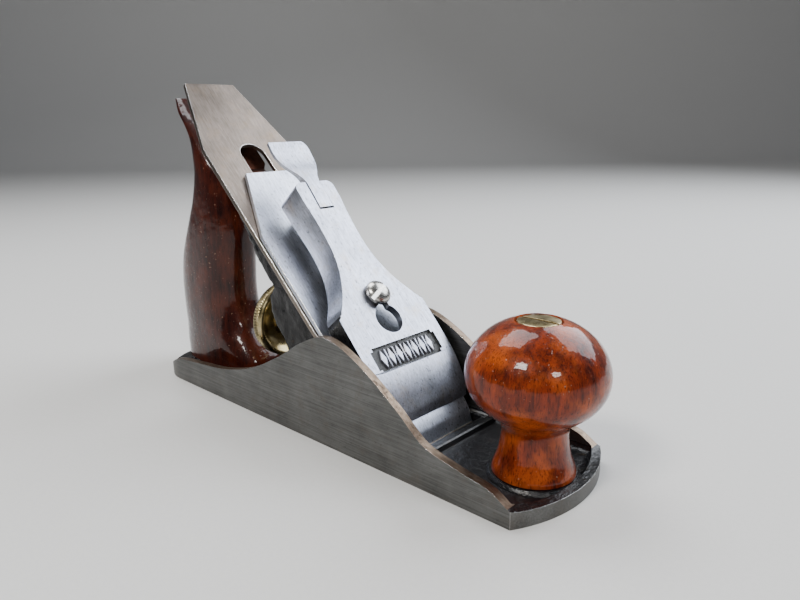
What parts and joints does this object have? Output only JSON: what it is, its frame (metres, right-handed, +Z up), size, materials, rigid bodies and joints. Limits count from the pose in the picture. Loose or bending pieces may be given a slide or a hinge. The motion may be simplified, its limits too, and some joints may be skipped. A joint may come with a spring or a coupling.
{
  "type": "bench plane",
  "caption": "Metal bench plane with a sliding frog, double iron, lever cap, screw depth adjustment and a lateral lever, with a turned wooden knob and a wooden tote.",
  "frame": {"origin": "the sole's underside, on its centre line, 105 mm behind the toe's tip", "axes": "+X towards the toe and the front knob, +Y towards the left-hand side wall as seen from behind, +Z up from the sole"},
  "size_m": [0.2192, 0.054, 0.1305],
  "materials": {
    "ground_casting": "brushed grey outside, glossy black paint inside",
    "japanned_casting": "glossy black paint over a rough casting",
    "tool_steel": "satin, slightly browned",
    "cap_iron_steel": "bright satin with fine pits",
    "lever_cap_metal": "bright satin with worn edges",
    "screw_steel": "turned steel, lightly aged",
    "spring_steel": "blued spring steel",
    "yellow_brass": "dull aged brass, knurled on the wheel's rim",
    "tab_metal": "aged, slightly yellow",
    "knob_wood": "glossy varnished reddish rosewood",
    "tote_wood": "glossy varnished dark rosewood"
  },
  "bodies": {
    "body": {"body_casting": "ground_casting", "front_knob": "knob_wood", "knob_rod": "screw_steel", "knob_nut": "yellow_brass", "tote": "tote_wood", "tote_rod": "screw_steel", "tote_nut": "yellow_brass", "frog_screw_left": "screw_steel", "frog_screw_right": "screw_steel", "frog_washer_left": "screw_steel", "frog_washer_right": "screw_steel"},
    "frog": {"frog": "japanned_casting", "frog_adjust_plate": "screw_steel", "frog_plate_screw": "screw_steel", "depth_stud": "screw_steel", "y_lever_pin": "screw_steel", "lateral_rivet": "screw_steel"},
    "frog_adjust_screw": {"frog_adjust_screw": "screw_steel"},
    "depth_wheel": {"depth_wheel": "yellow_brass"},
    "y_lever": {"y_lever": "screw_steel"},
    "cap_iron": {"cap_iron": "cap_iron_steel", "cap_iron_screw": "screw_steel"},
    "cutting_iron": {"cutting_iron": "tool_steel"},
    "lateral_lever": {"lateral_lever": "screw_steel", "lateral_disc": "screw_steel", "lateral_thumb_tab": "tab_metal"},
    "lever_cap": {"lever_cap": "lever_cap_metal", "cam_pin": "screw_steel", "lever_cap_spring": "spring_steel", "spring_rivet": "screw_steel"},
    "cam_lever": {"cam_lever": "lever_cap_metal"},
    "lever_cap_screw": {"lever_cap_screw": "screw_steel"}
  },
  "joints": [
    {"name": "frog_slide", "type": "slide", "parent": "body", "child": "frog", "axis": [1, 0, 0], "range_m": [-0.001, 0.001]},
    {"name": "frog_screw_spin", "type": "hinge", "parent": "frog", "child": "frog_adjust_screw", "pos_m": [-0.0331, 0, 0.0095], "axis": [1, 0, 0], "range_deg": [-450, 450]},
    {"name": "depth_wheel_spin", "type": "hinge", "parent": "frog", "child": "depth_wheel", "pos_m": [-0.0395, 0, 0.032], "axis": [1, 0, 0], "range_deg": [-450, 450]},
    {"name": "y_lever_swing", "type": "hinge", "parent": "frog", "child": "y_lever", "pos_m": [-0.021, 0, 0.054], "axis": [0, 1, 0], "range_deg": [-3.6, 3.6]},
    {"name": "iron_depth", "type": "slide", "parent": "frog", "child": "cap_iron", "axis": [0.7071, 0, -0.7071], "range_m": [-0.00073, 0.00073]},
    {"name": "iron_tilt", "type": "hinge", "parent": "cap_iron", "child": "cutting_iron", "pos_m": [0.045, 0, 0], "axis": [0.7071, 0, 0.7071], "range_deg": [-0.6, 0.6]},
    {"name": "lateral_swing", "type": "hinge", "parent": "frog", "child": "lateral_lever", "pos_m": [-0.04551, 0, 0.09051], "axis": [0.7071, 0, 0.7071], "range_deg": [-8, 8]},
    {"name": "lever_cap_slide", "type": "slide", "parent": "frog", "child": "lever_cap", "axis": [-0.7071, 0, 0.7071], "range_m": [0, 0.01]},
    {"name": "cam_swing", "type": "hinge", "parent": "lever_cap", "child": "cam_lever", "pos_m": [-0.01581, 0, 0.08202], "axis": [0, 1, 0], "range_deg": [0, 80]},
    {"name": "cap_screw_spin", "type": "hinge", "parent": "frog", "child": "lever_cap_screw", "pos_m": [0.00611, 0, 0.03889], "axis": [0.7071, 0, 0.7071], "range_deg": [-180, 180]}
  ],
  "couplings": [
    {"joint": "frog_screw_spin", "follows": "frog_slide", "rad_per_m": 7850},
    {"joint": "depth_wheel_spin", "follows": "iron_depth", "rad_per_m": 10700},
    {"joint": "y_lever_swing", "follows": "iron_depth", "rad_per_m": 85.2},
    {"joint": "iron_tilt", "follows": "lateral_swing", "ratio": -0.0711}
  ]
}
